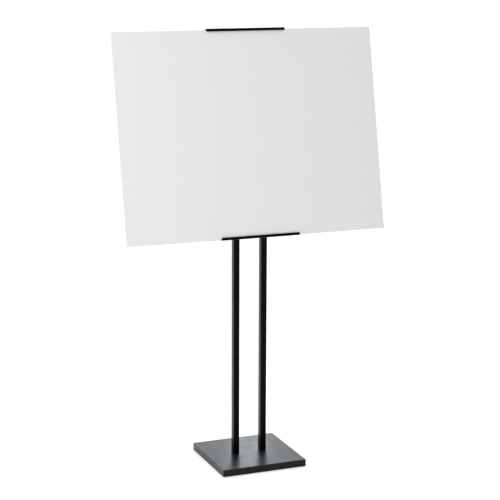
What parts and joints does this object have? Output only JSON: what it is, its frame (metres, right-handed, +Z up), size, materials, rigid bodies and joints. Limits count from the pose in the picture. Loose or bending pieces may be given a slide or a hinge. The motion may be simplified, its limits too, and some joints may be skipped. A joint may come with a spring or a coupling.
{
  "type": "sign stand",
  "caption": "Floor-standing sign holder: a weighted square base, twin square posts and a tilting head that grips a display board between a ledge and a sliding clip.",
  "frame": {"origin": "on the floor, under the middle of the square base", "axes": "+Z up, the board's face looks towards -Y and leans back, +X to the right seen from the front"},
  "size_m": [1.016, 0.333, 1.6349],
  "materials": {
    "black_powder_coat": "satin black powder coat, fine orange peel",
    "ballast_steel": "plain mill-finish steel plate",
    "zinc_plated_steel": "bright zinc-plated fasteners",
    "brass_insert": "machined brass",
    "black_plastic": "moulded black plastic, fine spark texture",
    "nylon": "natural nylon washer",
    "black_rubber": "matte black rubber",
    "foam_board": "matte white paper facing over a foam core"
  },
  "bodies": {
    "stand": {"base_cover": "black_powder_coat", "ballast_plate": "ballast_steel", "foot_front_left": "black_rubber", "foot_front_right": "black_rubber", "foot_back_left": "black_rubber", "foot_back_right": "black_rubber", "foot_screw_front_left": "zinc_plated_steel", "foot_screw_front_right": "zinc_plated_steel", "foot_screw_back_left": "zinc_plated_steel", "foot_screw_back_right": "zinc_plated_steel", "post_left": "black_powder_coat", "post_right": "black_powder_coat", "post_insert_left": "ballast_steel", "post_insert_right": "ballast_steel", "post_washer_left": "zinc_plated_steel", "post_washer_right": "zinc_plated_steel", "post_bolt_left": "zinc_plated_steel", "post_bolt_right": "zinc_plated_steel", "post_cap_left": "black_plastic", "post_cap_right": "black_plastic", "spreader_bar": "black_powder_coat", "spreader_screw_left": "zinc_plated_steel", "spreader_screw_right": "zinc_plated_steel", "stop_bumper": "black_rubber", "pivot_bolt": "zinc_plated_steel", "pivot_washer": "zinc_plated_steel", "friction_washer_left": "nylon", "friction_washer_right": "nylon"},
    "head": {"mast_sleeve": "black_powder_coat", "sleeve_bush": "black_plastic", "sleeve_plug": "black_plastic", "tilt_bracket": "black_powder_coat", "pivot_spacer_tube": "zinc_plated_steel", "bracket_rivet_1": "zinc_plated_steel", "bracket_rivet_2": "zinc_plated_steel", "bracket_rivet_3": "zinc_plated_steel", "bracket_rivet_4": "zinc_plated_steel", "ledge_channel": "black_powder_coat", "ledge_grip_left": "black_rubber", "ledge_grip_right": "black_rubber", "ledge_screw_left": "zinc_plated_steel", "ledge_screw_right": "zinc_plated_steel", "lock_boss": "zinc_plated_steel"},
    "clip_slider": {"slide_bar": "black_powder_coat", "slide_guide": "black_plastic", "slide_bar_cap": "black_plastic", "clip_spacer": "black_plastic", "clip_channel": "black_powder_coat", "clip_grip_left": "black_rubber", "clip_grip_right": "black_rubber", "clip_screw_left": "zinc_plated_steel", "clip_screw_right": "zinc_plated_steel"},
    "board": {"display_board": "foam_board"},
    "tilt_knob": {"tilt_knob": "black_plastic", "tilt_knob_insert": "brass_insert"},
    "lock_knob": {"lock_knob": "black_plastic", "lock_stud": "zinc_plated_steel"}
  },
  "joints": [
    {"name": "head_tilt", "type": "hinge", "parent": "stand", "child": "head", "pos_m": [0, 0, 1.238], "axis": [-1, 0, 0], "range_deg": [-12, 78]},
    {"name": "clip_height", "type": "slide", "parent": "head", "child": "clip_slider", "axis": [0, 0.2079, 0.9781], "range_m": [0, 0.254]},
    {"name": "board_slide", "type": "slide", "parent": "head", "child": "board", "axis": [1, 0, 0], "range_m": [-0.67, 0.67]},
    {"name": "tilt_knob_turn", "type": "hinge", "parent": "stand", "child": "tilt_knob", "pos_m": [0.08, 0, 1.238], "axis": [1, 0, 0], "range_deg": [0, 540]},
    {"name": "lock_knob_turn", "type": "hinge", "parent": "head", "child": "lock_knob", "pos_m": [0, 0.02966, 1.33904], "axis": [0, 0.9781, -0.2079], "range_deg": [0, 540]}
  ]
}
